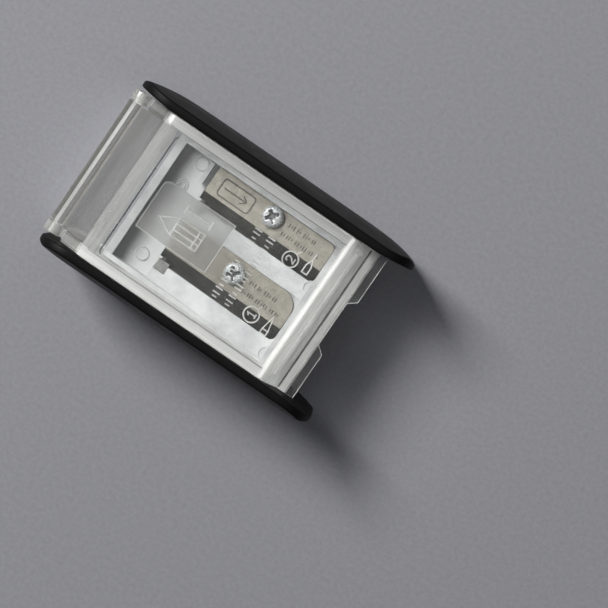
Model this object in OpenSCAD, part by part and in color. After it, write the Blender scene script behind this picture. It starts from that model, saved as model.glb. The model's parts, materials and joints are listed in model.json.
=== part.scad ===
// Two-step long-point pencil sharpener in a clear shavings case with two black side cheeks.
// +X points out of the pencil holes, +Z up. The origin is the middle of the footprint, on the table.
// Hole 1 (wood) cuts the long cedar cone, hole 2 (point) then shapes the lead.

/* [Case] */
// Overall height of the case, which is the height of the side cheeks
case_h = 25; // [24:0.5:27]
// Length of the side cheeks
cheek_l = 60.9; // [58:0.1:62]
// Distance between the inner faces of the two cheeks
cheek_gap = 31.7; // [31.7:0.1:32.1]
// Thickness of a cheek where its outer face is fullest
cheek_t = 3.58; // [3.2:0.02:3.8]
// Corner radius of a cheek, seen from the side
cheek_corner_r = 7; // [4:0.5:9]

/* [Clear shells] */
// Width over the clear tub and lid
shell_w = 31.4; // [31.2:0.1:31.4]
// Thickness of the lid's side skirts
lid_side_t = 2.1; // [1.9:0.05:2.2]
// Thickness of the tub's side walls
tub_side_t = 1.5; // [1.4:0.05:1.5]
// Thickness of the lid's roof and slopes
shell_t = 1.5; // [1.2:0.1:1.6]
// Height at which the tub ends and the lid begins
parting_z = 18; // [17.9:0.05:18.05]
// Length of the finger notch in the lid's front lip
notch_w = 11.8; // [9:0.2:13]

/* [Lid hinge] */
// Radius of the lid's knuckle
knuckle_r = 1.7; // [1.6:0.05:1.75]
// Radius of the trunnions that the lid turns on
trunnion_r = 0.9; // [0.8:0.05:0.95]
// Radial clearance of the trunnions in the tub's ears
trunnion_gap = 0.05; // [0.03:0.01:0.08]

/* [Sharpener block] */
// Radius of the pencil holes
hole_r = 4.65; // [4.6:0.05:4.7]
// Distance between the two pencil holes
hole_pitch = 13.2; // [13:0.1:13.4]
// Half-angle of the sharpening cones
cone_angle = 9; // [8.8:0.1:9.2]
// Height of the pencil axes above the table
hole_z = 12; // [11.8:0.1:12.2]
// Length of the cast block
block_l = 41.9; // [41.7:0.05:41.9]

/* [Blades] */
// Length of a blade
blade_l = 27; // [26.6:0.1:27]
// Width of the wood blade
wood_blade_w = 8.2; // [8:0.05:8.3]
// Width of the point blade
point_blade_w = 7.1; // [6.9:0.05:7.15]
// Thickness of a blade
blade_t = 0.6; // [0.5:0.05:0.7]
// Width of the ground bevel along the cutting edge
bevel_w = 1.6; // [1.2:0.1:1.8]
// Radius of the screw heads
screw_head_r = 2.1; // [1.9:0.1:2.2]

/* [Hidden] */
$fn = 64;
eps = 0.01;

// Case
cheek_x = 0.15;                      // middle of a cheek's length
cheek_in_y = cheek_gap / 2;
cheek_flare = 0.7;                   // how far a cheek's inner face leaves the shell at its tips
cheek_flare_l = 8;
cheek_dome_sag = 1.93;               // how much thinner a cheek is at its top and bottom rims
cheek_taper_sag = 1.4;               // and at its two ends
cheek_taper_power = 7;
peg_r = 1.25;
peg_gap = 0.02;
peg_l = 1.2;
peg_places = [[-19, 9], [18, 9], [-2, 4]];

// Clear shells
shell_y = shell_w / 2;
lid_inner_y = shell_y - lid_side_t;
tub_inner_y = shell_y - tub_side_t;
tub_z = 0.4;                         // the tub hangs between the cheeks, just off the table
tub_back_x = -30.75;
tub_front_x = 24.15;
tub_wall_t = 1.45;
tub_front_h = 18.1;
tub_back_bend_r = 6.5;
tub_front_bend_r = 3.5;
parting_gap = 0.3;
lid_top_z = case_h - 0.8;
lid_flat_front_x = 17.65;
lid_flat_back_x = -20.4;
front_bend_r = 3;
back_bend_r = 4;
front_slope_a = 30;                  // angle of the front slope's normal above the X axis
lip_x = 25.8;
lip_z = 18.4;
lip_t = 1;
notch_depth = lip_x - tub_front_x;
notch_slope = 1.3;
skirt_back_x = -26.4;
hinge_x = -29.15;
hinge_z = 18.4;
knuckle_y = 13.4;
ear_in_y = knuckle_y + 0.25;         // a knuckle's end keeps clear of its ear
ear_out_y = 15.6;
ear_r = 1.75;
ear_l = 6;                           // how far an ear reaches down into the tub's wall
rib_t = 1.6;
rib_in = 1.9;                        // the ribs begin this far in front of the block's back
rib_y = [-10.6, -1.3, 9.2];          // ribs that carry the block
window_gap = 0.35;                   // the front wall's windows around the two holes

// The back slope's angle is the one at which it runs out tangent to the knuckle.
back_bend = [lid_flat_back_x, lid_top_z - back_bend_r];
reach = back_bend - [hinge_x, hinge_z];
back_slope_a = atan2(reach.y, reach.x) + acos((knuckle_r - back_bend_r) / norm(reach));

// Sharpener block
block_back_x = -19.45;
block_front_x = block_back_x + block_l;
block_y = tub_inner_y - 0.15;
block_z = 6;
collar_x = 16.6;                     // the cylindrical mouth of a hole runs from here forward
collar_top = 18.1;
ledge_x = 20.2;                      // the lid's front wall closes over this ledge
ledge_top = 17.3;
rim_t = 1.6;
rim_top = 13.6;                      // at the back; a rim rises to rim_rise over the lands
rim_rise = 0.4;
rim_in_y = [-13.1, 12.35];           // inner faces of the two side rims
tray_front_x = -10.2;
tray_z = 11.2;
stub_x = [-12.05, -11.15];                // the rib behind the point blade
stub_y = [7.55, 12.1];
stub_top = 13.4;
ejector_marks = [[-13.4, 10.6], [-13.3, -9.95]];
ejector_r = 1.2;
ejector_h = 0.15;
land_h = 0.7;                        // the lands stand this much over the blades' seats
hole_y = [-8.05, -8.05 + hole_pitch]; // wood, point
deck_slope = tan(cone_angle);
slot_out = 1.15;                     // shavings gap between a cutting edge and its slot's far side
slot_under = 1.6;                    // how far a slot runs under the blade
slot_corner_r = 1.1;                 // at the front end of a slot
slot_back = 0.6;                     // where a slot begins, in front of the tray
seat_gap = 0.05;                     // between a blade and the end and side of its seat
tip_r = 0.35;

// Blades and screws, in a seat's own frame
screw_fit = 0.05;                    // radial clearance of a shank in the block
screw_along = -13.1;
screw_across = [5.15, 4.95];          // wood, point
screw_hole_r = 1.2;
screw_shank_r = 1;
screw_head_h = 1.5;
screw_l = 4.2;
head_sag = 0.55;                     // share of a head's height that its dome takes up
recess = [2.7, 0.7, 1.7];            // one arm of the cross recess
blade_w = [wood_blade_w, point_blade_w];
edge_t = 0.06;                       // what is left of a blade's thickness at its edge
corner_r = [3.4, 1.1];               // front corner of the wood and the point blade

function deck_z(x) = hole_z + hole_r - (collar_x - x) * deck_slope;
function arc(c, r, a0, a1, n = 10) =
    [for (i = [0:n]) let (a = a0 + (a1 - a0) * i / n) c + r * [cos(a), sin(a)]];
// Where a slope that leaves a bend of centre c at angle a has come down to height z
function slope_foot(c, r, a, z) =
    [c.x + r * cos(a) + (c.y + r * sin(a) - z) * tan(a), z];

// Extrudes an outline in X and Z across the case, from -half to +half in Y.
module across(half) {
    rotate([90, 0, 0]) translate([0, 0, -half]) linear_extrude(2 * half) children();
}

// A box by its lowest and highest corners
module span(low, high) {
    translate(low) cube(high - low);
}

module rounded_rect(l, h, r) {
    union() {
        translate([-l / 2 + r, -h / 2]) square([l - 2 * r, h]);
        translate([-l / 2, -h / 2 + r]) square([l, h - 2 * r]);
        for (x = [-1, 1], y = [-1, 1])
            translate([x * (l / 2 - r), y * (h / 2 - r)]) circle(r);
    }
}

// ---- Cheeks ----

// A cylinder's radius for a bulge of height sag over a chord
function bulge_r(chord, sag) = (chord * chord / 4 + sag * sag) / (2 * sag);

// Height of a cheek's outer face over its inner face's plane, at a place along it
function cheek_fullness(x) =
    cheek_t - cheek_taper_sag * pow(abs(x) / (cheek_l / 2), cheek_taper_power);

// A cheek from above: thin at its tips, where the inner face leaves the shell too
function cheek_plan(n = 24) = concat(
    [for (i = [-n:n]) let (x = i / n * cheek_l / 2) [x, cheek_fullness(x)]],
    [[cheek_l / 2, cheek_flare], [cheek_l / 2 - cheek_flare_l, 0],
     [-cheek_l / 2 + cheek_flare_l, 0], [-cheek_l / 2, cheek_flare]]);

// The left cheek, domed from top to bottom
module cheek() {
    r_up = bulge_r(case_h, cheek_dome_sag);
    intersection() {
        translate([cheek_x, cheek_in_y - 1, case_h / 2]) rotate([-90, 0, 0])
            linear_extrude(cheek_t + 2) rounded_rect(cheek_l, case_h, cheek_corner_r);
        translate([-cheek_l, cheek_in_y + cheek_t - r_up, case_h / 2]) rotate([0, 90, 0])
            cylinder(h = 2 * cheek_l, r = r_up, $fn = 200);
        translate([cheek_x, cheek_in_y, -1]) linear_extrude(case_h + 2) polygon(cheek_plan());
    }
    for (place = peg_places)
        translate([place.x, cheek_in_y + eps, place.y]) rotate([90, 0, 0])
            cylinder(h = peg_l + eps, r = peg_r);
}

module left_cheek() { color([0.06, 0.06, 0.065]) cheek(); }
module right_cheek() { color([0.06, 0.06, 0.065]) mirror([0, 1, 0]) cheek(); }

// ---- Tub ----

module tub_ear(side) {
    low = side > 0 ? ear_in_y : -ear_out_y;
    wall = ear_out_y - ear_in_y;
    translate([0, low + wall, 0]) rotate([90, 0, 0]) linear_extrude(wall) union() {
        translate([hinge_x, hinge_z]) circle(ear_r);
        translate([hinge_x - ear_r, hinge_z - ear_l]) square([2 * ear_r, ear_l]);
    }
}

// The tub's section from the side, inset by t from its outer face. The back wall is low, under
// the lid's knuckle, and the front wall is higher than the sides.
function tub_section(t, back_top, side_top, front_top) = concat(
    arc([tub_back_x + tub_back_bend_r, tub_z + tub_back_bend_r], tub_back_bend_r - t, 180, 270),
    arc([tub_front_x - tub_front_bend_r, tub_z + tub_front_bend_r], tub_front_bend_r - t, 270, 360),
    [[tub_front_x - t, front_top], [tub_front_x - tub_wall_t - t, front_top],
     [tub_front_x - tub_wall_t - t, side_top], [skirt_back_x - 0.6, side_top],
     [skirt_back_x - 0.6, back_top], [tub_back_x + t, back_top]]);

// The lower clear shell: floor, four walls, hinge ears and the ribs that carry the block
module shavings_tub() {
    back_top = hinge_z - knuckle_r - parting_gap;
    color([0.9, 0.93, 0.94, 0.35]) difference() {
        union() {
            difference() {
                across(shell_y) polygon(tub_section(0, back_top, parting_z, tub_front_h));
                across(tub_inner_y) polygon(tub_section(tub_wall_t, case_h, case_h, case_h));
            }
            for (side = [-1, 1]) tub_ear(side);
            for (y = rib_y)
                span([block_back_x + rib_in, y - rib_t / 2, tub_z + tub_wall_t - eps],
                     [tub_front_x - tub_wall_t + eps, y + rib_t / 2, block_z]);
        }
        for (y = hole_y)
            translate([block_front_x - 1, y, hole_z]) rotate([0, 90, 0])
                cylinder(h = 5, r = hole_r + window_gap);
        translate([hinge_x, 0, hinge_z]) rotate([90, 0, 0])
            cylinder(h = 2 * shell_w, r = trunnion_r + trunnion_gap, center = true);
        for (place = peg_places, side = [-1, 1])
            translate([place.x, side * shell_y, place.y]) rotate([90, 0, 0])
                cylinder(h = 2 * (peg_l - 0.05), r = peg_r + peg_gap, center = true);
    }
}

// ---- Lid ----

// The lid's section from the side, inset by t from its outer face
function lid_section(t) = concat(
    [[slope_foot(front_bend, front_bend_r - t, front_slope_a, lip_z).x, parting_z - 4],
     slope_foot(front_bend, front_bend_r - t, front_slope_a, lip_z)],
    arc(front_bend, front_bend_r - t, front_slope_a, 90),
    arc(back_bend, back_bend_r - t, 90, back_slope_a),
    [[hinge_x, hinge_z] + (knuckle_r - t) * [cos(back_slope_a), sin(back_slope_a)]],
    [[hinge_x, hinge_z - (t > 0 ? 4 : 0)]]);
front_bend = [lid_flat_front_x, lid_top_z - front_bend_r];

module lid_lip() {
    half = shell_y;
    notch = notch_w / 2;
    translate([0, 0, lip_z]) linear_extrude(lip_t)
        polygon([[tub_front_x - 3, -half], [lip_x, -half], [lip_x, -notch],
                 [lip_x - notch_depth, -notch + notch_slope],
                 [lip_x - notch_depth, notch - notch_slope], [lip_x, notch],
                 [lip_x, half], [tub_front_x - 3, half]]);
}

module lid() {
    skirt_z = parting_z + parting_gap;
    color([0.92, 0.95, 0.96, 0.3]) union() {
        difference() {
            union() {
                across(shell_y) polygon(lid_section(0));
                lid_lip();
            }
            across(lid_inner_y) polygon(lid_section(shell_t));
            // the skirts end above the tub, and the front wall above the tub's front wall
            span([tub_back_x, -shell_w, 0], [tub_front_x + 5, shell_w, skirt_z]);
            span([ledge_x - 0.3, -tub_inner_y, 0], [lip_x + 1, tub_inner_y, lip_z]);
            span([tub_front_x - tub_wall_t - 0.3, -shell_w, 0], [lip_x + 1, shell_w, lip_z]);
            for (side = [-1, 1])
                translate([0, side * (knuckle_y + shell_w / 2), 0])
                    span([tub_back_x - 1, -shell_w / 2, 0],
                         [skirt_back_x, shell_w / 2, case_h]);
        }
        translate([hinge_x, 0, hinge_z]) rotate([90, 0, 0]) {
            cylinder(h = 2 * knuckle_y, r = knuckle_r, center = true);
            cylinder(h = 2 * (ear_out_y - 0.1), r = trunnion_r, center = true);
        }
    }
}

// ---- Sharpener block ----

// The block's outline from the side, under a top that follows the blades
function block_section(lift, back_z) =
    [[block_back_x, block_z], [block_front_x, block_z], [block_front_x, ledge_top],
     [ledge_x, ledge_top], [ledge_x, collar_top], [collar_x, collar_top],
     [collar_x, deck_z(collar_x) + lift],
     [tray_front_x, deck_z(tray_front_x) + lift], [tray_front_x, back_z],
     [block_back_x, back_z]];

// Moves a blade or a screw to the seat of hole i: X along the cutting edge, Z off the seat.
module on_seat(i) {
    translate([collar_x, hole_y[i], deck_z(collar_x)]) rotate([0, -cone_angle, 0]) children();
}

module pencil_hole(i) {
    end_x = collar_x - (hole_r - tip_r) / deck_slope;
    back = tray_front_x - 1;
    front = block_front_x + 1;
    translate([0, hole_y[i], hole_z]) rotate([0, 90, 0]) rotate_extrude()
        polygon([[0, back], [tip_r, back], [tip_r, end_x], [hole_r, collar_x], [hole_r, front],
                 [0, front]]);
}

// A slot from above, about its hole's axis
module slot_plan() {
    slot_x = [tray_front_x + slot_back, collar_x + seat_gap];
    union() {
        translate([slot_x[0], -slot_out])
            square([slot_x[1] - slot_corner_r - slot_x[0], slot_out + slot_under]);
        translate([slot_x[0], -slot_out + slot_corner_r])
            square([slot_x[1] - slot_x[0], slot_out + slot_under - slot_corner_r]);
        translate([slot_x[1] - slot_corner_r, -slot_out + slot_corner_r]) circle(slot_corner_r);
    }
}

module sharpener_block() {
    color([0.78, 0.79, 0.79]) difference() {
        union() {
            across(block_y) polygon(block_section(land_h, tray_z));
            // rims along both sides and across the back
            for (side = [0, 1]) let (edge = side ? block_y : -block_y)
                translate([0, (edge + rim_in_y[side]) / 2, 0])
                    across(abs(edge - rim_in_y[side]) / 2)
                        polygon([[block_back_x, block_z], [block_front_x, block_z],
                                 [block_front_x, ledge_top], [ledge_x, ledge_top],
                                 [ledge_x, collar_top], [collar_x, collar_top],
                                 [collar_x, deck_z(collar_x) + land_h + rim_rise],
                                 [block_back_x, rim_top]]);
            span([block_back_x, -block_y, block_z], [block_back_x + rim_t, block_y, rim_top]);
            // the rib behind the point blade
            span([stub_x[0], stub_y[0], block_z], [stub_x[1], stub_y[1], stub_top]);
            // ejector marks on the tray's floor
            for (mark = ejector_marks)
                translate([mark.x, mark.y, block_z])
                    cylinder(h = tray_z - block_z + ejector_h, r = ejector_r);
        }
        for (i = [0, 1]) {
            pencil_hole(i);
            // the seat that the blade lies in
            on_seat(i) span([-blade_l, 0, 0], [3 * seat_gap, blade_w[i] + seat_gap, case_h]);
            // the slot that shavings leave by
            translate([0, hole_y[i], hole_z + 0.2]) linear_extrude(collar_top) slot_plan();
            on_seat(i) translate([screw_along, screw_across[i], -screw_l])
                cylinder(h = screw_l + 1, r = screw_shank_r + screw_fit);
        }
        // pockets that hold the two stops, open at the top
        for (i = [0, 1]) stop_shape(i, stop_gap, collar_top);
    }
}

// ---- Blades ----

// The cutting edge lies on X at Y = 0, and the blade reaches back to Y = w.
module blade(i) {
    r = corner_r[i];
    w = blade_w[i];
    difference() {
        intersection() {
            translate([-blade_l + seat_gap, 0, 0]) rotate([90, 0, 90])
                linear_extrude(blade_l - seat_gap)
                polygon([[0, 0], [w, 0], [w, blade_t], [bevel_w, blade_t], [0, edge_t]]);
            linear_extrude(2 * blade_t, center = true) union() {
                translate([-blade_l, 0]) square([blade_l - r, w]);
                translate([-r - eps, 0]) square([r + eps, w - r]);
                translate([-r, w - r]) circle(r);
            }
        }
        translate([screw_along, screw_across[i], -1]) cylinder(h = 3, r = screw_hole_r);
    }
}

module wood_blade() { color([0.66, 0.63, 0.58]) on_seat(0) blade(0); }
module point_blade() { color([0.66, 0.63, 0.58]) on_seat(1) blade(1); }

// ---- Screws ----

// A pan-head screw with a cross recess, standing on the blade
module screw() {
    dome_r = bulge_r(2 * screw_head_r, screw_head_h * head_sag);
    difference() {
        union() {
            translate([0, 0, -screw_l + 0.2]) cylinder(h = screw_l - 0.2 + blade_t, r = screw_shank_r);
            intersection() {
                translate([0, 0, blade_t]) cylinder(h = screw_head_h, r = screw_head_r);
                translate([0, 0, blade_t + screw_head_h - dome_r]) sphere(dome_r);
            }
        }
        for (turn = [45, 135])
            translate([0, 0, blade_t + screw_head_h]) rotate([0, 0, turn])
                cube(recess, center = true);
    }
}

module blade_screw(i) {
    color([0.8, 0.82, 0.83]) on_seat(i) translate([screw_along, screw_across[i], 0]) screw();
}

module wood_blade_screw() { blade_screw(0); }
module point_blade_screw() { blade_screw(1); }

// ---- Stops ----

// A stop is a small bent tab. Its foot closes the thin end of a hole, so that the pencil
// stops turning up shavings when its point is finished.
stop_x = [-10, -7.6];
stop_foot_x = stop_x[0] + 1.1;
stop_z = [hole_z - 2.2, hole_z + 1.6];
stop_foot_top = hole_z - 0.3;        // under the blade
stop_tab_y = [-2.7, -0.5];           // from the hole's axis
stop_foot_y = 1.2;
stop_gap = 0.05;

module stop_shape(i, gap, top) {
    y = hole_y[i];
    grow = [gap, gap, gap];
    span([stop_x[0], y + stop_tab_y[0], stop_z[0]] - grow,
         [stop_foot_x + gap, y + stop_foot_y + gap, stop_foot_top + gap]);
    span([stop_x[0], y + stop_tab_y[0], stop_z[0]] - grow,
         [stop_x[1] + gap, y + stop_tab_y[1] + gap, top]);
}

module wood_stop() { color([0.8, 0.8, 0.78]) stop_shape(0, 0, stop_z[1]); }
module point_stop() { color([0.8, 0.8, 0.78]) stop_shape(1, 0, stop_z[1]); }

left_cheek();
right_cheek();
shavings_tub();
lid();
sharpener_block();
wood_blade();
point_blade();
wood_blade_screw();
point_blade_screw();
wood_stop();
point_stop();
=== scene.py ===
"""A two-step long-point pencil sharpener in a clear shavings case with black side cheeks."""

import json
import math

import bmesh
import bpy
from mathutils import Matrix, Vector


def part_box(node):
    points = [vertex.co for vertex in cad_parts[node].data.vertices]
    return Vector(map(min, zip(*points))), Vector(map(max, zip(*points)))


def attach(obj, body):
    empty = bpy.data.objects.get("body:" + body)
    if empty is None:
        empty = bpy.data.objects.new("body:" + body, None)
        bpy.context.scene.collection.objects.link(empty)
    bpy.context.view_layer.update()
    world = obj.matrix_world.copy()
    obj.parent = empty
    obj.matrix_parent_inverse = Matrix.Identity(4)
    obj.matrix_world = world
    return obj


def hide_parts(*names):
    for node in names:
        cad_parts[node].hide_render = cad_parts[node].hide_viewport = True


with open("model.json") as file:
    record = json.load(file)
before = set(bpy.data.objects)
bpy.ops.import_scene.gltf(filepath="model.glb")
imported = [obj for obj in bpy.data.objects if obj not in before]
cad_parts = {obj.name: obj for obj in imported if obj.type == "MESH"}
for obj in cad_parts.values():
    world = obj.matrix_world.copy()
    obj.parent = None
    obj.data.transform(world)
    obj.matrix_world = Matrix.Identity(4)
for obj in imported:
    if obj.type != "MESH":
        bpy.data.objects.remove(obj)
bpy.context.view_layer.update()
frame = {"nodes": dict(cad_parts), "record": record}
MM = 0.001
NODES = frame["nodes"]
RECORD = frame["record"]

# ---------------------------------------------------------------- places, in millimetres


def box_mm(node):
    """A CAD node's lowest and highest corners in millimetres."""
    low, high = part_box(node)
    return Vector(low) / MM, Vector(high) / MM


LID_HIGH = box_mm("lid")[1]
BLOCK_LOW, BLOCK_HIGH = box_mm("sharpener_block")
MOUNT = {mount["name"]: Vector(mount["pos_m"]) / MM for mount in RECORD["mounts"]}
WOOD_Y, POINT_Y = MOUNT["wood_hole"].y, MOUNT["point_hole"].y
HOLE_Z = MOUNT["wood_hole"].z
SEAT_ANGLE = math.radians(9)         # slope of the blades' seats
HOLE = RECORD["mounts"][0]["dims"]
COLLAR_X = BLOCK_HIGH.x - HOLE["length_mm"]
SEAT_Z = HOLE_Z + HOLE["r_mm"]
BLADE_TOP = 0.6                      # a blade's face over the seats' plane
LAND_TOP = 0.7                       # the lands over the seats' plane
TRAY_Z = 11.2                        # the tray is the block's low floor behind the blades
LIP_Z = 19.4                         # top of the lid's front lip
LID_PLANE = Matrix.Translation((0, 0, LID_HIGH.z))
LIP_PLANE = Matrix.Translation((0, 0, LIP_Z))
TRAY_PLANE = Matrix.Translation((0, 0, TRAY_Z))


def seat_plane(y, lift):
    """The plane of the blades: X along the cutting edge, its origin over a hole's axis at the collar."""
    return (Matrix.Translation((COLLAR_X, y, SEAT_Z)) @ Matrix.Rotation(-SEAT_ANGLE, 4, "Y")
            @ Matrix.Translation((0, 0, lift)))


# ---------------------------------------------------------------- mesh helpers


def add_object(name, mesh, body, material, replaces=()):
    """Adds a finished mesh as a piece that rides on a body."""
    piece = bpy.data.objects.new(name, mesh)
    bpy.context.collection.objects.link(piece)
    materials = material if isinstance(material, (list, tuple)) else [material]
    for one in materials:
        mesh.materials.append(one)
    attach(piece, body)
    if replaces:
        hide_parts(*replaces)
    return piece


def finish_mesh(bm, name, smooth=True):
    """Turns a bmesh in millimetres into a mesh in metres with its faces turned outwards."""
    bmesh.ops.remove_doubles(bm, verts=bm.verts, dist=1e-5)
    bmesh.ops.recalc_face_normals(bm, faces=bm.faces)
    bmesh.ops.scale(bm, vec=(MM, MM, MM), verts=bm.verts)
    mesh = bpy.data.meshes.new(name)
    bm.to_mesh(mesh)
    bm.free()
    for face in mesh.polygons:
        face.use_smooth = smooth
    return mesh


def add_relief(name, bm, body, material):
    """Adds a bmesh of raised lines as a piece with flat faces."""
    add_object(name, finish_mesh(bm, name, smooth=False), body, material)


def soften(piece, width, segments=2, angle=28):
    """Rounds a piece's sharp edges and keeps its flat faces flat."""
    bevel = piece.modifiers.new("edges", "BEVEL")
    bevel.width = width * MM
    bevel.segments = segments
    bevel.limit_method = "ANGLE"
    bevel.angle_limit = math.radians(angle)
    bevel.use_clamp_overlap = True
    bevel.miter_outer = "MITER_ARC"
    weighted = piece.modifiers.new("flats", "WEIGHTED_NORMAL")
    weighted.mode = "FACE_AREA"
    weighted.weight = 100
    weighted.keep_sharp = True
    return piece


def cad_copy(node):
    """A bmesh in millimetres of a CAD node's shape, with its flat faces whole again."""
    bm = bmesh.new()
    bm.from_mesh(NODES[node].data)
    bmesh.ops.scale(bm, vec=(1 / MM,) * 3, verts=bm.verts)
    bmesh.ops.remove_doubles(bm, verts=bm.verts, dist=1e-4)
    bmesh.ops.dissolve_limit(bm, angle_limit=math.radians(0.6), verts=bm.verts, edges=bm.edges)
    return bm


def ring_path(x, y, rx, ry=None, steps=40, start=0, end=360):
    """Points round an ellipse; a full turn leaves out the last, repeated point."""
    ry = rx if ry is None else ry
    whole = end - start == 360
    return [Vector((x + rx * math.cos(a), y + ry * math.sin(a)))
            for a in (math.radians(start + (end - start) * k / steps)
                      for k in range(steps if whole else steps + 1))]


def rounded_path(x, y, half_x, half_y, radius, steps=6):
    """Points round a rectangle with round corners about x, y."""
    points = []
    for turn, (sx, sy) in enumerate(((1, 1), (-1, 1), (-1, -1), (1, -1))):
        points += ring_path(x + sx * (half_x - radius), y + sy * (half_y - radius), radius,
                            steps=steps, start=90 * turn, end=90 * turn + 90)
    return points


def ridge(bm, path, width, height, plane, closed=False, top=0.5, sink=0.04):
    """A raised line with sloping sides along a path in a plane, as moulds and stamps leave."""
    rings = []
    last = len(path) - 1
    for k, point in enumerate(path):
        before = path[k - 1] if closed or k > 0 else None
        after = path[(k + 1) % len(path)] if closed or k < last else None
        into = (point - before).normalized() if before is not None else None
        out = (after - point).normalized() if after is not None else None
        along = ((into or out) + (out or into)).normalized()
        spread = 1 / max(0.5, along.dot(out or into))
        across = Vector((-along.y, along.x)) * spread * width / 2
        ring = []
        for side, lift in ((-1, -sink), (-top, height), (top, height), (1, -sink)):
            q = point + across * side
            ring.append(bm.verts.new(plane @ Vector((q.x, q.y, lift))))
        rings.append(ring)
    pairs = list(zip(rings, rings[1:])) + ([(rings[-1], rings[0])] if closed else [])
    for a, b in pairs:
        for j in range(4):
            n = (j + 1) % 4
            bm.faces.new((a[j], a[n], b[n], b[j]))
    if not closed:
        bm.faces.new(rings[0])
        bm.faces.new(rings[-1])


def plate(bm, outline, height, plane, chamfer=0.05, sink=0.04):
    """A thin raised plate with a chamfered rim over an outline in a plane."""
    middle = sum(outline, Vector((0, 0))) / len(outline)
    rings = []
    for inset, lift in ((0, -sink), (0, height - chamfer), (chamfer, height)):
        ring = []
        for p in outline:
            q = p + (middle - p).normalized() * inset
            ring.append(bm.verts.new(plane @ Vector((q.x, q.y, lift))))
        rings.append(ring)
    for a, b in zip(rings, rings[1:]):
        for k in range(len(a)):
            n = (k + 1) % len(a)
            bm.faces.new((a[k], a[n], b[n], b[k]))
    bm.faces.new(rings[0])
    bm.faces.new(rings[-1])


# ---------------------------------------------------------------- material helpers


class Paint:
    """A material's node tree with a Principled shader and object coordinates."""

    def __init__(self, name, **sockets):
        self.material = bpy.data.materials.new(name)
        self.material.use_nodes = True
        self.tree = self.material.node_tree
        self.shader = self.tree.nodes["Principled BSDF"]
        self.output = self.tree.nodes["Material Output"]
        self.place = self.tree.nodes.new("ShaderNodeTexCoord").outputs["Object"]
        for key, value in sockets.items():
            self.shader.inputs[key.replace("_", " ")].default_value = value

    def node(self, kind, **values):
        made = self.tree.nodes.new(kind)
        for key, value in values.items():
            setattr(made, key, value)
        return made

    def link(self, source, target):
        self.tree.links.new(source, target)
        return target

    def stretched(self, scale):
        """Object coordinates scaled by a different amount along each axis, per metre."""
        mapping = self.node("ShaderNodeMapping")
        mapping.inputs["Scale"].default_value = scale
        self.link(self.place, mapping.inputs["Vector"])
        return mapping.outputs["Vector"]

    def noise(self, scale, detail=4.0, rough=0.55, vector=None):
        made = self.node("ShaderNodeTexNoise")
        made.inputs["Scale"].default_value = scale
        made.inputs["Detail"].default_value = detail
        made.inputs["Roughness"].default_value = rough
        self.link(vector or self.place, made.inputs["Vector"])
        return made.outputs["Fac"]

    def between(self, factor, low, high, start=0.3, end=0.7):
        """Maps a factor to values from low to high."""
        made = self.node("ShaderNodeMapRange")
        for key, value in (("From Min", start), ("From Max", end), ("To Min", low), ("To Max", high)):
            made.inputs[key].default_value = value
        self.link(factor, made.inputs["Value"])
        return made.outputs["Result"]

    def tint(self, factor, dark, light, start=0.3, end=0.7):
        """A colour that runs from dark to light with a factor."""
        ramp = self.node("ShaderNodeValToRGB")
        ramp.color_ramp.elements[0].position = start
        ramp.color_ramp.elements[1].position = end
        ramp.color_ramp.elements[0].color = (*dark, 1)
        ramp.color_ramp.elements[1].color = (*light, 1)
        self.link(factor, ramp.inputs["Fac"])
        return ramp.outputs["Color"]

    def bump(self, height, strength, distance):
        made = self.node("ShaderNodeBump")
        made.inputs["Strength"].default_value = strength
        made.inputs["Distance"].default_value = distance * MM
        self.link(height, made.inputs["Height"])
        self.link(made.outputs["Normal"], self.shader.inputs["Normal"])
        return made


def cheek_plastic(name, dark, light, gloss, grain):
    """Black moulded plastic with a fine grain."""
    paint = Paint(name, Roughness=0.5, IOR=1.5, Specular_IOR_Level=gloss)
    paint.link(paint.tint(paint.noise(45, detail=3), dark, light), paint.shader.inputs["Base Color"])
    paint.link(paint.between(paint.noise(260, detail=5), 0.46, 0.6), paint.shader.inputs["Roughness"])
    paint.bump(paint.noise(5200, detail=2), grain, 0.02)
    return paint.material


def clear_plastic(name, roughness, haze, milk_low, milk_high, streaks=(140, 140, 140), spread=0.15):
    """Clear moulded plastic: a share of streaky, milky haze, and lamps shine through it; on some zones the
    haze's share and tone are set to paint highlights, sheen and shade.
    """
    paint = Paint(name, Transmission_Weight=1.0, IOR=1.5, Base_Color=(0.965, 0.972, 0.965, 1),
                  Roughness=roughness)
    paint.bump(paint.noise(2400, detail=2), 0.06, 0.002)
    flow = paint.noise(1, detail=4, rough=0.6, vector=paint.stretched(streaks))
    colour = paint.tint(flow, milk_low, milk_high, 0.35, 0.65)
    milk, front, back = (paint.node("ShaderNode" + kind) for kind in
                         ("MixShader", "BsdfDiffuse", "BsdfTranslucent"))
    for slot, lobe in ((1, front), (2, back)):
        paint.link(colour, lobe.inputs["Color"])
        paint.link(lobe.outputs["BSDF"], milk.inputs[slot])
    milk.inputs["Fac"].default_value = 0.25
    hazy = paint.node("ShaderNodeMixShader")
    paint.link(paint.between(flow, haze * (1 - spread), min(1.0, haze * (1 + spread)), 0.35, 0.65),
               hazy.inputs["Fac"])
    paint.link(paint.shader.outputs["BSDF"], hazy.inputs[1])
    paint.link(milk.outputs["Shader"], hazy.inputs[2])
    through = paint.node("ShaderNodeBsdfTransparent")
    through.inputs["Color"].default_value = (0.8, 0.8, 0.8, 1)
    path = paint.node("ShaderNodeLightPath")
    last = paint.node("ShaderNodeMixShader")
    paint.link(path.outputs["Is Shadow Ray"], last.inputs["Fac"])
    paint.link(hazy.outputs["Shader"], last.inputs[1])
    paint.link(through.outputs["BSDF"], last.inputs[2])
    paint.link(last.outputs["Shader"], paint.output.inputs["Surface"])
    return paint.material


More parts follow.
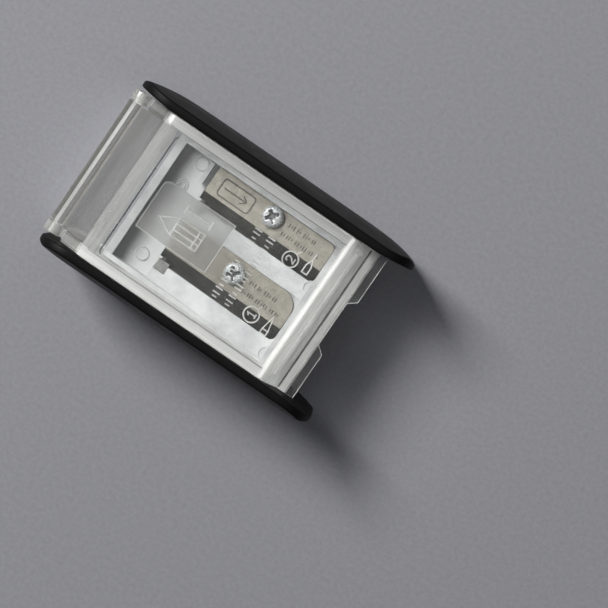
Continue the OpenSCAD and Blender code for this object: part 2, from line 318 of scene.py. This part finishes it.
def cast_metal(name, dark, light, shade_fall=None):
    """Die-cast metal, cloudy; shade_fall is the stretch of X, in mm, over which a painted shade turns from
    dark to light.
    """
    paint = Paint(name, Metallic=0.3, Roughness=0.5)
    cloud = paint.noise(110, detail=8, rough=0.68)
    if shade_fall:
        split = paint.node("ShaderNodeSeparateXYZ")
        paint.link(paint.place, split.inputs["Vector"])
        shade_ramp = paint.between(split.outputs["X"], 0.25, 0.65, shade_fall[0] * MM, shade_fall[1] * MM)
        cloud = paint.between(cloud, -0.06, 0.06)
        both = paint.node("ShaderNodeMath", operation="ADD")
        paint.link(shade_ramp, both.inputs[0])
        paint.link(cloud, both.inputs[1])
        cloud = both.outputs["Value"]
    paint.link(paint.tint(cloud, dark, light, 0.36, 0.64),
               paint.shader.inputs["Base Color"])
    paint.link(paint.between(paint.noise(420, detail=6), 0.42, 0.62), paint.shader.inputs["Roughness"])
    grain = paint.noise(2600, detail=4, rough=0.65)
    paint.bump(grain, 0.5, 0.04)
    return paint.material


def blade_steel(name, dark, light):
    """Blade strip: fine grinding lines along the blade, and a warm grey cast."""
    paint = Paint(name, Metallic=0.85, Roughness=0.5)
    lines = paint.noise(1, detail=4, vector=paint.stretched((350, 9000, 350)))
    stain = paint.noise(600, detail=9, rough=0.72)
    paint.link(paint.tint(stain, dark, light),
               paint.shader.inputs["Base Color"])
    paint.link(paint.between(lines, 0.44, 0.58), paint.shader.inputs["Roughness"])
    paint.bump(lines, 0.2, 0.012)
    return paint.material


def screw_steel(name, dark, light):
    """Plated steel, fairly bright."""
    paint = Paint(name, Metallic=0.6, Roughness=0.36)
    paint.link(paint.tint(paint.noise(900, detail=4), dark, light),
               paint.shader.inputs["Base Color"])
    paint.link(paint.between(paint.noise(2500, detail=5), 0.2, 0.34), paint.shader.inputs["Roughness"])
    paint.bump(paint.noise(1800, detail=3), 0.06, 0.01)
    return paint.material


def stop_steel():
    """Rolled steel of the stop tabs."""
    paint = Paint("stop_steel", Metallic=1.0, Roughness=0.34)
    paint.link(paint.tint(paint.noise(700, detail=5), (0.58, 0.58, 0.56), (0.74, 0.74, 0.72)),
               paint.shader.inputs["Base Color"])
    paint.link(paint.between(paint.noise(2200, detail=4), 0.26, 0.42), paint.shader.inputs["Roughness"])
    paint.bump(paint.noise(2600, detail=3), 0.18, 0.015)
    return paint.material


CHEEK = cheek_plastic("cheek_plastic", (0.002, 0.0019, 0.0018), (0.005, 0.0046, 0.0042), 0.17, 0.14)
# The cheeks' outer domes: a coarser grain, and a lighter tone that is a painted sheen.
GRAIN_AND_SHEEN = cheek_plastic("cheek_grain_and_sheen", (0.012, 0.0112, 0.0098), (0.019, 0.0178, 0.0158), 0.24, 0.3)
GREY, PALE, WHITE = (0.4, 0.4, 0.385), (0.66, 0.66, 0.64), (0.92, 0.92, 0.9)
ALONG_X, ALONG_Y = (30, 420, 260), (700, 50, 400)
CLEAR = clear_plastic("clear_plastic", 0.02, 0.045, GREY, PALE)
# Painted sheen: the whitish look of the lid's side strips and the tub's side and front walls.
SKIRT_SHEEN = clear_plastic("skirt_painted_sheen", 0.08, 0.46, (0.8, 0.8, 0.78), WHITE, ALONG_X, 0.14)
# Painted dark reflection on the lid's rear slope and on the knuckle beside its highlight.
SLOPE_DARK_REFLECTION = clear_plastic("slope_painted_reflection", 0.1, 0.3, (0.12, 0.115, 0.1), (0.2, 0.195, 0.175), ALONG_Y, 0.2)
# Painted highlight on the knuckle's band and on the bar at the top of the front bend.
BEND_HIGHLIGHT = clear_plastic("bend_painted_highlight", 0.12, 0.9, (0.86, 0.86, 0.84), (0.97, 0.97, 0.95), ALONG_Y, 0.1)
# Painted highlight on the lid's front slope.
FRONT_HIGHLIGHT = clear_plastic("front_painted_highlight", 0.05, 0.48, (0.8, 0.8, 0.78), (0.97, 0.97, 0.95), ALONG_Y, 0.3)
# Painted soft highlight on the lid's rear bend and the tub's hinge ears.
FOLD_HIGHLIGHT = clear_plastic("fold_painted_highlight", 0.1, 0.42, (0.42, 0.42, 0.4), (0.56, 0.56, 0.53), ALONG_Y, 0.15)
FROST = clear_plastic("frosted_plastic", 0.2, 0.28, (0.3, 0.3, 0.3), (0.4, 0.4, 0.39))
RELIEF = clear_plastic("relief_plastic", 0.08, 0.55, (0.76, 0.76, 0.74), WHITE)
EMBOSS = clear_plastic("embossed_plastic", 0.12, 0.42, PALE, WHITE)
# Painted shade for the fine dark lines on the lid.
EDGE_SHADE = clear_plastic("edge_painted_shade", 0.1, 0.7, (0.1, 0.1, 0.095), (0.16, 0.16, 0.15))
CAST = cast_metal("cast_metal", (0.36, 0.365, 0.37), (0.56, 0.565, 0.565))
# The tray's floor and fillet: a darker base with a painted shade of the rim, dark at the rim and lighter
# forwards.
TRAY_SHADE = cast_metal("tray_painted_shade", (0.16, 0.165, 0.165), (0.56, 0.57, 0.57), (-17.6, -12.6))
# Painted shade inside the block's holes and slots.
BORE_SHADE = cast_metal("bore_painted_shade", (0.09, 0.09, 0.085), (0.15, 0.15, 0.145))
BLADE = blade_steel("blade_steel", (0.17, 0.159, 0.136), (0.31, 0.291, 0.25))
STAMP = blade_steel("stamp_steel", (0.08, 0.075, 0.064), (0.13, 0.122, 0.104))
# Painted dark reflection on the blades' bevels.
BEVEL_REFLECTION = blade_steel("bevel_painted_reflection", (0.03, 0.03, 0.027), (0.06, 0.06, 0.052))
SCREW = screw_steel("screw_steel", (0.6, 0.63, 0.64), (0.74, 0.77, 0.78))
# Painted shade in the screws' cross recesses.
RECESS_SHADE = screw_steel("recess_painted_shade", (0.15, 0.155, 0.155), (0.26, 0.265, 0.265))
STOP = stop_steel()

# ---------------------------------------------------------------- cheeks

CORNER_R = 7.0                       # seen from the side
CHEEK_GAP = 0.15                     # between the lid and a cheek's inner face
RIM_FILLET = 0.32
DOME_SAG = 1.93                      # thinner at the top and bottom rims
TAPER_SAG = 1.7                      # thinner at the two ends
TAPER_POWER = 7
TIP_FLARE = 0.7                      # how far the inner face leaves the shell at the ends
TIP_FLARE_L = 8.0
CREASE = 0.12                        # softness of the line where dome and taper meet


def rounded_outline(half_l, half_h, radius, corner=14, along=40, up=8):
    """Points round a rectangle with round corners, counter-clockwise, at even steps."""
    points = []
    sides = [((1, 1), 0, along), ((-1, 1), 90, up), ((-1, -1), 180, along), ((1, -1), 270, up)]
    for (sx, sz), start, steps in sides:
        centre = Vector((sx * (half_l - radius), sz * (half_h - radius)))
        for k in range(corner + 1):
            a = math.radians(start + 90 * k / corner)
            points.append(centre + radius * Vector((math.cos(a), math.sin(a))))
        last = points[-1]
        if steps == along:
            step = Vector((-sz * 2 * (half_l - radius) / steps, 0))
        else:
            step = Vector((0, sx * 2 * (half_h - radius) / steps))
        points += [last + step * k for k in range(1, steps)]
    return points


def cheek(side, node):
    """A black cheek: a pillow-shaped plate that is thin at its rims and at its tips."""
    low, high = box_mm(node)
    half_l, half_h = (high.x - low.x) / 2, (high.z - low.z) / 2
    centre = Vector(((low.x + high.x) / 2, (low.z + high.z) / 2))
    outer = max(abs(low.y), abs(high.y))
    inner = LID_HIGH.y + CHEEK_GAP
    bulge = (half_h ** 2 + DOME_SAG ** 2) / (2 * DOME_SAG)
    outline = rounded_outline(half_l, half_h, CORNER_R)
    medial = [Vector((max(-(half_l - half_h), min(half_l - half_h, p.x)), 0)) for p in outline]

    def outer_y(p):
        taper = TAPER_SAG * abs(p.x / half_l) ** TAPER_POWER
        dome = bulge - math.sqrt(bulge ** 2 - min(p.y ** 2, half_h ** 2))
        return outer - (taper + dome + math.hypot(taper - dome, CREASE)) / 2

    def inner_y(p):
        flare = max(0.0, abs(p.x) - (half_l - TIP_FLARE_L)) / TIP_FLARE_L
        return inner + TIP_FLARE * flare ** 1.2

    def fillet(inset):
        if inset >= RIM_FILLET:
            return 0.0
        return RIM_FILLET - math.sqrt(RIM_FILLET ** 2 - (RIM_FILLET - inset) ** 2)

    insets = [0.0, 0.03, 0.09, 0.18, RIM_FILLET, 0.8, 1.5, 2.4, 3.4, 4.8, 6.8, 9, 11, 2 * half_h]
    rings = [(inset, False) for inset in reversed(insets)] + [(inset, True) for inset in insets]
    bm = bmesh.new()
    made = []
    for inset, outside in rings:
        ring = []
        for p, m in zip(outline, medial):
            away = p - m
            q = m + away * (1 - inset / away.length) if inset < away.length else m.copy()
            y = outer_y(q) - fillet(inset) if outside else inner_y(q) + fillet(inset)
            ring.append(bm.verts.new((centre.x + q.x, side * y, centre.y + q.y)))
        made.append(ring)
    # The outer dome, past the rim's fillet, takes the coarser grain and the lighter tone of painted sheen.
    grain_and_sheen_from = len(insets) + insets.index(RIM_FILLET)
    for j, (a, b) in enumerate(zip(made, made[1:])):
        for k in range(len(a)):
            n = (k + 1) % len(a)
            bm.faces.new((a[k], a[n], b[n], b[k])).material_index = 1 if j >= grain_and_sheen_from else 0
    bmesh.ops.remove_doubles(bm, verts=bm.verts, dist=1e-4)
    name = node + "_shell"
    return add_object(name, finish_mesh(bm, name), "case", [CHEEK, GRAIN_AND_SHEEN], [node])


cheek(1, "left_cheek")
cheek(-1, "right_cheek")

# ---------------------------------------------------------------- clear shells

X_AXIS, Y_AXIS = Vector((1, 0, 0)), Vector((0, 1, 0))
SHELL_PLASTICS = [CLEAR, SKIRT_SHEEN, SLOPE_DARK_REFLECTION, BEND_HIGHLIGHT, FRONT_HIGHLIGHT, FOLD_HIGHLIGHT]
STRIP_Y = 13.6                       # the lid's side strips lie outside this
TUB_WALL_Y = 13.9
KNUCKLE_X = (-29.55, -28.75)         # the painted highlight along the knuckle
# Bounds of the painted highlight on the lid's rear bend.
REAR_BEND_X = (-22.4, -19.6)
# Bounds of the painted highlight on the lid's front slope.
FRONT_SLOPE_X = (17.65, 23.75)
EAR_X, EAR_Z = -27, 16               # the tub's hinge ears lie behind and above these
TUB_FRONT_X = 22


def zoned_shell(node, body, cuts, zone):
    """A clear shell cut along planes, with a material for each zone of its surface; most zones' materials
    paint highlights, sheen and shade onto the clear plastic.
    """
    name = node + "_soft"
    bm = cad_copy(node)
    for axis, at in cuts:
        everything = list(bm.verts) + list(bm.edges) + list(bm.faces)
        bmesh.ops.bisect_plane(bm, geom=everything, dist=1e-4, plane_co=axis * at, plane_no=axis)
    for face in bm.faces:
        face.material_index = SHELL_PLASTICS.index(zone(face.calc_center_median()))
    piece = add_object(name, finish_mesh(bm, name), body, SHELL_PLASTICS, [node])
    soften(piece, 0.16)


def lid_zone(middle):
    """The material of a face of the lid, from the knuckle at the rear to the lip at the front: painted
    highlights on the knuckle, the rear bend and the front slope, a painted dark reflection on the knuckle
    beside its highlight and on the rear slope, a painted sheen on the side strips, and clear plastic
    elsewhere.
    """
    for edge, plastic in ((KNUCKLE_X[0], SLOPE_DARK_REFLECTION), (KNUCKLE_X[1], BEND_HIGHLIGHT), (REAR_BEND_X[0], SLOPE_DARK_REFLECTION)):
        if middle.x < edge:
            return plastic
    in_strip = abs(middle.y) > STRIP_Y
    if middle.x < REAR_BEND_X[1] and not in_strip:
        return FOLD_HIGHLIGHT
    if middle.x > FRONT_SLOPE_X[1]:
        return CLEAR
    if middle.x > FRONT_SLOPE_X[0]:
        return FRONT_HIGHLIGHT
    return SKIRT_SHEEN if in_strip else CLEAR


def tub_zone(middle):
    """The material of a face of the tub: a painted highlight on its ears, a painted sheen on its side and
    front walls, and clear plastic for the rest.
    """
    if middle.x < EAR_X and middle.z > EAR_Z:
        return FOLD_HIGHLIGHT
    return SKIRT_SHEEN if abs(middle.y) > TUB_WALL_Y or middle.x > TUB_FRONT_X else CLEAR


zoned_shell("lid", "lid", [(Y_AXIS, y) for y in (-STRIP_Y, STRIP_Y)]
            + [(X_AXIS, x) for x in REAR_BEND_X + FRONT_SLOPE_X], lid_zone)
zoned_shell("shavings_tub", "case", [(Y_AXIS, TUB_WALL_Y), (Y_AXIS, -TUB_WALL_Y)], tub_zone)

# ---------------------------------------------------------------- block, blades and stops

TRAY_FRONT_X = -10                   # the bored holes start in front of the tray
TRAY_ENDS_Y = (-13.08, 12.33)
SLOT_ACROSS = (-1.2, 1.7)            # a slot's two sides from its hole's axis
RIM_T = 1.58                         # of the block's rim behind the tray
TRAY_FILLET_R = 1.3


def block():
    """The cast block; the inside of its holes and slots takes a painted shade, and the tray's floor the
    tray's painted shade.
    """
    name = "sharpener_block_soft"
    bm = cad_copy("sharpener_block")
    for face in bm.faces:
        middle = face.calc_center_median()
        # Faces inside the holes and on the slots' sides take a painted shade.
        for y in (WOOD_Y, POINT_Y):
            across = middle.y - y
            in_hole = math.hypot(across, middle.z - HOLE_Z) < HOLE["r_mm"] + 0.05
            in_slot = SLOT_ACROSS[0] < across < SLOT_ACROSS[1] and abs(face.normal.z) < 0.5
            if middle.x > TRAY_FRONT_X and (in_hole or (in_slot and middle.x < COLLAR_X)):
                face.material_index = 1
        # The tray's floor takes the tray's painted shade.
        if middle.x < TRAY_FRONT_X and middle.z < TRAY_Z + 0.2 and face.normal.z > 0.9:
            face.material_index = 2
    metals = [CAST, BORE_SHADE, TRAY_SHADE]
    piece = add_object(name, finish_mesh(bm, name), "case", metals, ["sharpener_block"])
    soften(piece, 0.14)


def tray_fillet():
    """The hollow curve between the tray's floor and the rim behind it, in the tray's painted shade."""
    back, radius, steps = BLOCK_LOW.x + RIM_T, TRAY_FILLET_R, 10
    bm = bmesh.new()
    profile = [(back + radius * (1 - math.sin(a)), TRAY_Z + radius * (1 - math.cos(a)))
               for a in (math.radians(90 * k / steps) for k in range(steps + 1))]
    profile = [(back, TRAY_Z - 0.02)] + [(x, z + 0.01) for x, z in reversed(profile)]
    ends = [[bm.verts.new((x, y, z)) for x, z in profile] for y in TRAY_ENDS_Y]
    for k in range(len(profile)):
        n = (k + 1) % len(profile)
        bm.faces.new((ends[0][k], ends[0][n], ends[1][n], ends[1][k]))
    for end in ends:
        bm.faces.new(end)
    mesh = finish_mesh(bm, "block_tray_fillet")
    soften(add_object("block_tray_fillet", mesh, "case", TRAY_SHADE), 0.01)


block()
tray_fillet()


def blade(node):
    """A blade: its flat is left as rolled, and the bevel along its edge takes a painted dark reflection."""
    bm = cad_copy(node)
    for face in bm.faces:
        # Faces of the bevel take the painted dark reflection.
        if -0.6 < face.normal.y < -0.15:
            face.material_index = 1
    name = node + "_bevel_reflection"
    piece = add_object(name, finish_mesh(bm, name), "case", [BLADE, BEVEL_REFLECTION], [node])
    soften(piece, 0.03, angle=10)


def stop(node):
    """A bent steel tab with softened edges."""
    name = node + "_soft"
    piece = add_object(name, finish_mesh(cad_copy(node), name), "case", STOP, [node])
    soften(piece, 0.08)


blade("wood_blade")
blade("point_blade")
stop("wood_stop")
stop("point_stop")

# ---------------------------------------------------------------- relief on the lid

LABEL_H = 0.05
FIGURE_W, FIGURE_H = 0.28, 0.2       # of the raised lines of figures and ridges
FIGURE_RING_R, FIGURE_SCALE = 1.5, 1.3
GLYPHS = {
    "1": [[(-0.3, 0.32), (0.05, 0.62), (0.05, -0.62)], [(-0.3, -0.62), (0.4, -0.62)]],
    "2": [[(-0.38, 0.3), (-0.3, 0.52), (-0.08, 0.64), (0.18, 0.6), (0.36, 0.42), (0.36, 0.18),
           (0.2, -0.08), (-0.4, -0.62), (0.42, -0.62)]],
}


def upright(points, x, y, scale=1.0):
    """A figure's points on the lid: figures stand with their tops towards the hinge."""
    return [Vector((x - scale * q, y + scale * p)) for p, q in points]


def lid_label():
    """The frosted field on the lid, with one round corner, and its fine border."""
    rear, front, half, corner = -16.15, -0.85, 5.15, 1.3
    outline = [Vector((front, -half)), Vector((front, half))]
    outline += ring_path(rear + corner, half - corner, corner, steps=8, start=90, end=180)
    outline += [Vector((rear, -half))]
    bm = bmesh.new()
    plate(bm, outline, LABEL_H, LID_PLANE, chamfer=0.02)
    add_relief("lid_label_field", bm, "lid", FROST)
    bm = bmesh.new()
    ridge(bm, outline, 0.14, 0.07, LID_PLANE, closed=True)
    add_relief("lid_label_border", bm, "lid", EMBOSS)


def lid_emblem():
    """A pencil in outline on the field, with a bar beside it."""
    bm = bmesh.new()
    plane = Matrix.Translation((0, 0, LID_HIGH.z + LABEL_H))
    body = [(-2.1, -2.6), (0.9, -2.6), (0.9, 2.0), (-0.6, 4.9), (-2.1, 2.0)]
    shapes = [(body, True), ([(-2.1, 2.0), (0.9, 2.0)], False), ([(-1.1, -2.6), (-1.1, 2.0)], False),
              ([(-0.1, -2.6), (-0.1, 2.0)], False), ([(-2.1, -1.7), (0.9, -1.7)], False),
              ([(1.9, -2.6), (3.3, -2.6)], False), ([(1.9, 2.0), (3.3, 2.0)], False),
              ([(2.6, -2.6), (2.6, 2.0)], False)]
    for points, closed in shapes:
        ridge(bm, upright(points, -7.6, -0.5, 1.2), 0.34, 0.26, plane, closed=closed)
    add_relief("lid_emblem", bm, "lid", EMBOSS)


def lid_figures():
    """The step numbers in their rings, each with a short leader."""
    for name, x, y, glyph in (("lid_step_one", 10.65, -6.65, "1"), ("lid_step_two", 10.85, 5.8, "2")):
        bm = bmesh.new()
        ridge(bm, ring_path(x, y, FIGURE_RING_R), FIGURE_W, FIGURE_H, LID_PLANE, closed=True)
        for stroke in GLYPHS[glyph]:
            ridge(bm, upright(stroke, x, y, FIGURE_SCALE), FIGURE_W, FIGURE_H, LID_PLANE)
        leader = [Vector((x + 0.5, y + 1.55)), Vector((x + 0.6, y + 1.85)), Vector((x + 1.0, y + 2.3))]
        ridge(bm, leader, 0.2, 0.14, LID_PLANE)
        add_relief(name, bm, "lid", RELIEF)


def lid_grip():
    """Two rows of short ridges for the thumb."""
    first_y, pair_pitch, pair_gap, pairs = -7.7, 1.74, 0.75, 9
    bm = bmesh.new()
    for x in (3.05, 5.95):
        for k in range(2 * pairs):
            y = first_y + pair_pitch * (k // 2) + pair_gap * (k % 2)
            reach = 0.76 if k % 3 else 0.45
            ridge(bm, [Vector((x - reach, y)), Vector((x + reach, y))], FIGURE_W, FIGURE_H, LID_PLANE)
    add_relief("lid_grip_ridges", bm, "lid", EMBOSS)


def lid_icon(name, y, half, shoulder, tip, line):
    """A pencil's end in outline: its barrel from the rear to a shoulder, its cone, and one line."""
    rear = -2.1
    outline = [(rear, -half), (shoulder, -half), (tip, 0), (shoulder, half), (rear, half)]
    bm = bmesh.new()
    for points, closed in ((outline, True), (line, False)):
        ridge(bm, upright(points, 14.35, y), 0.26, FIGURE_H, LID_PLANE, closed=closed)
    add_relief(name, bm, "lid", RELIEF)


def lid_bright_edges():
    """Fine bright lines where light gathers on the lid's cut edges and round the lip's notch."""
    lip_x, notch, depth, slope = LID_HIGH.x - 0.12, 5.9, 1.65, 1.3
    side_y, corner_y = 15.56, 15.5
    bm = bmesh.new()
    for side in (-1, 1):
        ridge(bm, [Vector((-21.0, side * side_y)), Vector((18.2, side * side_y))], 0.16, 0.05, LID_PLANE)
        ridge(bm, [Vector((p, side * q)) for p, q in
                   ((lip_x, corner_y), (lip_x, notch + 0.05), (lip_x - depth, notch - slope + 0.05))],
              0.13, 0.04, LIP_PLANE)
    ridge(bm, [Vector((lip_x - depth, notch - slope)), Vector((lip_x - depth, slope - notch))],
          0.13, 0.04, LIP_PLANE)
    add_relief("lid_bright_edges", bm, "lid", EMBOSS)


def lid_front(name, material, x, half, below, width, height, top, sink):
    """A bar along Y on the front slope, at a depth below the lid's top, that paints a highlight there."""
    bm = bmesh.new()
    ridge(bm, [Vector((x, -half)), Vector((x, half))], width, height,
          Matrix.Translation((0, 0, LID_HIGH.z - below)), top=top, sink=sink)
    add_relief(name, bm, "lid", material)


def lid_painted_shade_lines():
    """Painted shade: fine dark lines where the inner edges of the lid's skirts show through it, along the
    block's rear edge, and across the front slope.
    """
    bm = bmesh.new()
    for side in (-1, 1):
        ridge(bm, [Vector((-21.1, side * 13.75)), Vector((17.9, side * 13.75))], 0.17, 0.03, LID_PLANE)
    ridge(bm, [Vector(p) for p in ((-18.6, -13.2), (-19.05, -12.7), (-19.05, 12.2), (-18.6, 12.7))],
          0.3, 0.03, LID_PLANE)
    ridge(bm, [Vector((22.25, -15.4)), Vector((22.25, 15.4))], 0.55, 0.06, LIP_PLANE)
    add_relief("lid_painted_shade_lines", bm, "lid", EDGE_SHADE)


lid_bright_edges()
# Painted highlights on the front slope: a bright bar at the top of the bend and a wider band below it.
lid_front("lid_front_highlight_bar", BEND_HIGHLIGHT, x=18.5, half=15.5, below=0.5, width=1.1, height=0.36, top=0.36, sink=0.5)
lid_front("lid_front_highlight_band", RELIEF, x=20.0, half=13.5, below=1.45, width=1.8, height=0.05, top=0.46,
          sink=0.3)
lid_painted_shade_lines()
lid_label()
lid_emblem()
lid_figures()
lid_grip()
lid_icon("lid_wood_icon", y=-6.4, half=0.6, shoulder=-1.2, tip=1.9, line=[(-1.2, -0.6), (-1.2, 0.6)])
lid_icon("lid_point_icon", y=7.2, half=0.55, shoulder=-0.6, tip=0.9, line=[(1.0, 0), (2.1, 0)])

# ---------------------------------------------------------------- marks on the block


def block_marks():
    """Ejector rings and a small double arch on the tray, and part rings on the lands at the collar."""
    bm = bmesh.new()
    for x, y in ((-13.4, 10.6), (-13.3, -9.95)):
        ridge(bm, ring_path(x, y, 1.32), 0.24, 0.18, TRAY_PLANE, closed=True)
    arch_x, arch_y, foot_y = -14.3, 5.3, 4.6
    for radius in (0.55, 1.05):
        arch = ring_path(arch_x, arch_y, radius, steps=12, start=0, end=180)
        arch = [Vector((arch_x + radius, foot_y))] + arch + [Vector((arch_x - radius, foot_y))]
        ridge(bm, arch, 0.26, 0.24, TRAY_PLANE)
    for y in (3.1, -11.9):
        part_ring = ring_path(0.4, 0, 1.35, steps=14, start=95, end=235)
        ridge(bm, part_ring, 0.24, 0.16, seat_plane(y, LAND_TOP))
    add_relief("block_cast_marks", bm, "case", CAST)


block_marks()

# ---------------------------------------------------------------- stamps on the blades


STAMP_H, STAMP_SINK = 0.1, 0.02
ARROW_Y = 4.15                       # across the blade from its cutting edge


def bars(bm, x0, x1, y, plane, gaps):
    """A row of short stamped bars across the blade from x0 to x1, at a repeating set of gaps."""
    x, k = x0, 0
    while x <= x1:
        half = 0.42 * (1, 0.6, 1)[k % 3]
        ridge(bm, [Vector((x, y - half)), Vector((x, y + half))], 0.24, 0.08, plane, sink=STAMP_SINK)
        x, k = x + gaps[k % len(gaps)], k + 1


def arrow_stamp(bm, plane):
    """An arrow in a rounded rectangle, along the blade."""
    tail, tip, barb_x, barb_y = -23.9, -18.8, -20.0, 0.85
    shapes = [(rounded_path(-21.2, ARROW_Y, 3.6, 1.75, 0.7), True),
              ([Vector((tail, ARROW_Y)), Vector((tip - 0.1, ARROW_Y))], False)]
    shapes += [([Vector((barb_x, ARROW_Y + side * barb_y)), Vector((tip, ARROW_Y))], False)
               for side in (-1, 1)]
    for points, closed in shapes:
        ridge(bm, points, 0.3, STAMP_H, plane, closed=closed, sink=STAMP_SINK)


def blade_stamp(name, hole_y, upper_row, lower_row, with_arrow):
    """Two rows of bars stamped beside a blade's screw, and on one blade an arrow."""
    bm = bmesh.new()
    plane = seat_plane(hole_y, BLADE_TOP)
    bars(bm, -9.6, -3.6, upper_row, plane, (0.55, 0.55, 0.8, 0.5, 1.0))
    bars(bm, -10.0, -1.6, lower_row, plane, (0.55, 0.7, 0.5, 0.55, 0.9))
    if with_arrow:
        arrow_stamp(bm, plane)
    add_relief(name, bm, "case", STAMP)


blade_stamp("wood_blade_stamp", WOOD_Y, 5.5, 3.35, with_arrow=False)
blade_stamp("point_blade_stamp", POINT_Y, 5.35, 3.3, with_arrow=True)

# ---------------------------------------------------------------- blade screws

SCREW_ALONG = -13.1                  # along the seat from the collar
HEAD_R, HEAD_H = 2.1, 1.5
RIM_R = 1.35                         # the head rounds off outside this
RECESS_DEPTH, RECESS_R = 0.85, 1.6
ARM_HALF, ARM_REACH, CORE_R = 0.4, 1.45, 0.75
SHANK_R, SHANK_L, SHANK_SIDES = 0.98, 4.4, 32


def ramp_down(value, end, width):
    """1 up to width before end, then falling to 0 at end."""
    return max(0.0, min(1.0, (end - value) / width))


def screw_height(x, y):
    """Height of a pan head with a cross recess over its seat, at a place on the head."""
    r = math.hypot(x, y)
    rim = max(0.0, r - RIM_R) / (HEAD_R - RIM_R)
    height = HEAD_H * (1 - 0.05 * (r / HEAD_R) ** 2 - 0.5 * rim ** 2.2)
    arm = min(abs(x), abs(y))
    reach = max(abs(x), abs(y))
    wall = ramp_down(arm, ARM_HALF, 0.14) * ramp_down(reach, ARM_REACH, 0.25)
    core = ramp_down(r, CORE_R, 0.2)
    return height - RECESS_DEPTH * max(wall * (1 - 0.25 * reach), core)


def circle(radius, sides):
    """Points round the origin, the first on the X axis."""
    return [(radius * math.cos(a), radius * math.sin(a))
            for a in (2 * math.pi * k / sides for k in range(sides))]


def blade_screw(node, hole_y, screw_across, turn):
    """A screw's head, rounded and recessed, on its shank."""
    plane = seat_plane(hole_y, BLADE_TOP) @ Matrix.Translation((SCREW_ALONG, screw_across, 0))
    spin = Matrix.Rotation(math.radians(turn), 4, "Z")
    bm = bmesh.new()
    around, rings = 96, 26
    made = [[bm.verts.new(plane @ Vector((x, y, 0.0))) for x, y in circle(HEAD_R, around)]]
    for j in range(rings, 0, -1):
        made.append([bm.verts.new(plane @ spin @ Vector((x, y, screw_height(x, y))))
                     for x, y in circle(HEAD_R * (j / rings), around)])
    for j, (a, b) in enumerate(zip(made, made[1:])):
        r = HEAD_R * (1 - (j - 0.5) / rings)
        for k in range(around):
            n = (k + 1) % around
            face = bm.faces.new((a[k], a[n], b[n], b[k]))
            turned = 2 * math.pi * (k + 0.5) / around
            height = screw_height(r * math.cos(turned), r * math.sin(turned))
            # Faces deep in the cross recess take the painted shade; so does the fan at the head's centre
            # below.
            face.material_index = 1 if r < RECESS_R and height < HEAD_H * 0.82 else 0
    top = bm.verts.new(plane @ Vector((0, 0, screw_height(0, 0))))
    for k in range(around):
        bm.faces.new((made[-1][k], made[-1][(k + 1) % around], top)).material_index = 1
    shank = [[bm.verts.new(plane @ Vector((x, y, z))) for x, y in circle(SHANK_R, SHANK_SIDES)]
             for z in (0.05, -SHANK_L)]
    for k in range(SHANK_SIDES):
        n = (k + 1) % SHANK_SIDES
        bm.faces.new((shank[0][k], shank[0][n], shank[1][n], shank[1][k]))
    bm.faces.new(shank[1])
    name = node + "_turned"
    add_object(name, finish_mesh(bm, name), "case", [SCREW, RECESS_SHADE], [node])


blade_screw("wood_blade_screw", WOOD_Y, 5.15, 38)
blade_screw("point_blade_screw", POINT_Y, 4.95, 48)

# ---------------------------------------------------------------- floor, light and camera

FLOOR_SIZE = 6.0
TURN = math.radians(34.5)            # the object's turn in the picture
TILT = math.radians(4.1)             # the camera leans to the object's left side
DISTANCE = 0.36                      # from the lid's level
AIM = Vector((17.55, 0.15, 20.0)) * MM
LENS_FIELD = 0.113                   # width of the picture at the lid's level
SENSOR = 36


def floor():
    """A wide sheet of pale grey paper."""
    paint = Paint("floor_paper", Roughness=0.75)
    paint.link(paint.tint(paint.noise(1100, detail=9, rough=0.7), (0.27, 0.27, 0.294), (0.33, 0.33, 0.356)),
               paint.shader.inputs["Base Color"])
    paint.bump(paint.noise(2600, detail=4), 0.25, 0.05)
    bm = bmesh.new()
    bmesh.ops.create_grid(bm, x_segments=4, y_segments=4, size=FLOOR_SIZE / 2 / MM)
    mesh = finish_mesh(bm, "floor", smooth=False)
    mesh.materials.append(paint.material)
    piece = bpy.data.objects.new("floor", mesh)
    bpy.context.collection.objects.link(piece)


def softbox(name, toward, distance, size, power):
    """An area lamp in a direction from the object, facing it."""
    data = bpy.data.lights.new(name, "AREA")
    data.shape = "RECTANGLE"
    data.size, data.size_y = size
    data.energy = power
    lamp = bpy.data.objects.new(name, data)
    lamp.location = Vector(toward).normalized() * distance
    lamp.rotation_mode = "QUATERNION"
    lamp.rotation_quaternion = Vector(toward).to_track_quat("Z", "Y")
    bpy.context.collection.objects.link(lamp)


def camera():
    """The photo's view: from nearly straight above, with the object turned in the picture."""
    right = Vector((math.cos(TURN), math.sin(TURN), 0))
    lean = Vector((0, math.sin(TILT), math.cos(TILT)))
    right = (right - lean * right.dot(lean)).normalized()
    up = lean.cross(right)
    data = bpy.data.cameras.new("camera")
    data.sensor_width = SENSOR
    data.lens = SENSOR * DISTANCE / LENS_FIELD
    data.clip_start, data.clip_end = 0.01, 20
    eye = bpy.data.objects.new("camera", data)
    turn = Matrix((right, up, lean)).transposed()
    eye.matrix_world = Matrix.Translation(AIM + lean * DISTANCE) @ turn.to_4x4()
    bpy.context.collection.objects.link(eye)
    bpy.context.scene.camera = eye


def studio():
    """One soft key light from the object's rear, a weak fill from the front, and a dim sky."""
    world = bpy.data.worlds.new("studio")
    world.use_nodes = True
    sky = world.node_tree.nodes["Background"]
    sky.inputs["Color"].default_value = (0.9, 0.93, 1, 1)
    sky.inputs["Strength"].default_value = 0.065
    bpy.context.scene.world = world
    bpy.context.scene.view_settings.view_transform = "Standard"
    softbox("key", (-0.67, 0.23, 0.71), distance=1.2, size=(0.38, 0.44), power=15.2)
    softbox("fill", (0.5, 0.0, 0.86), distance=1.0, size=(0.2, 0.5), power=0.6)


floor()
studio()
camera()
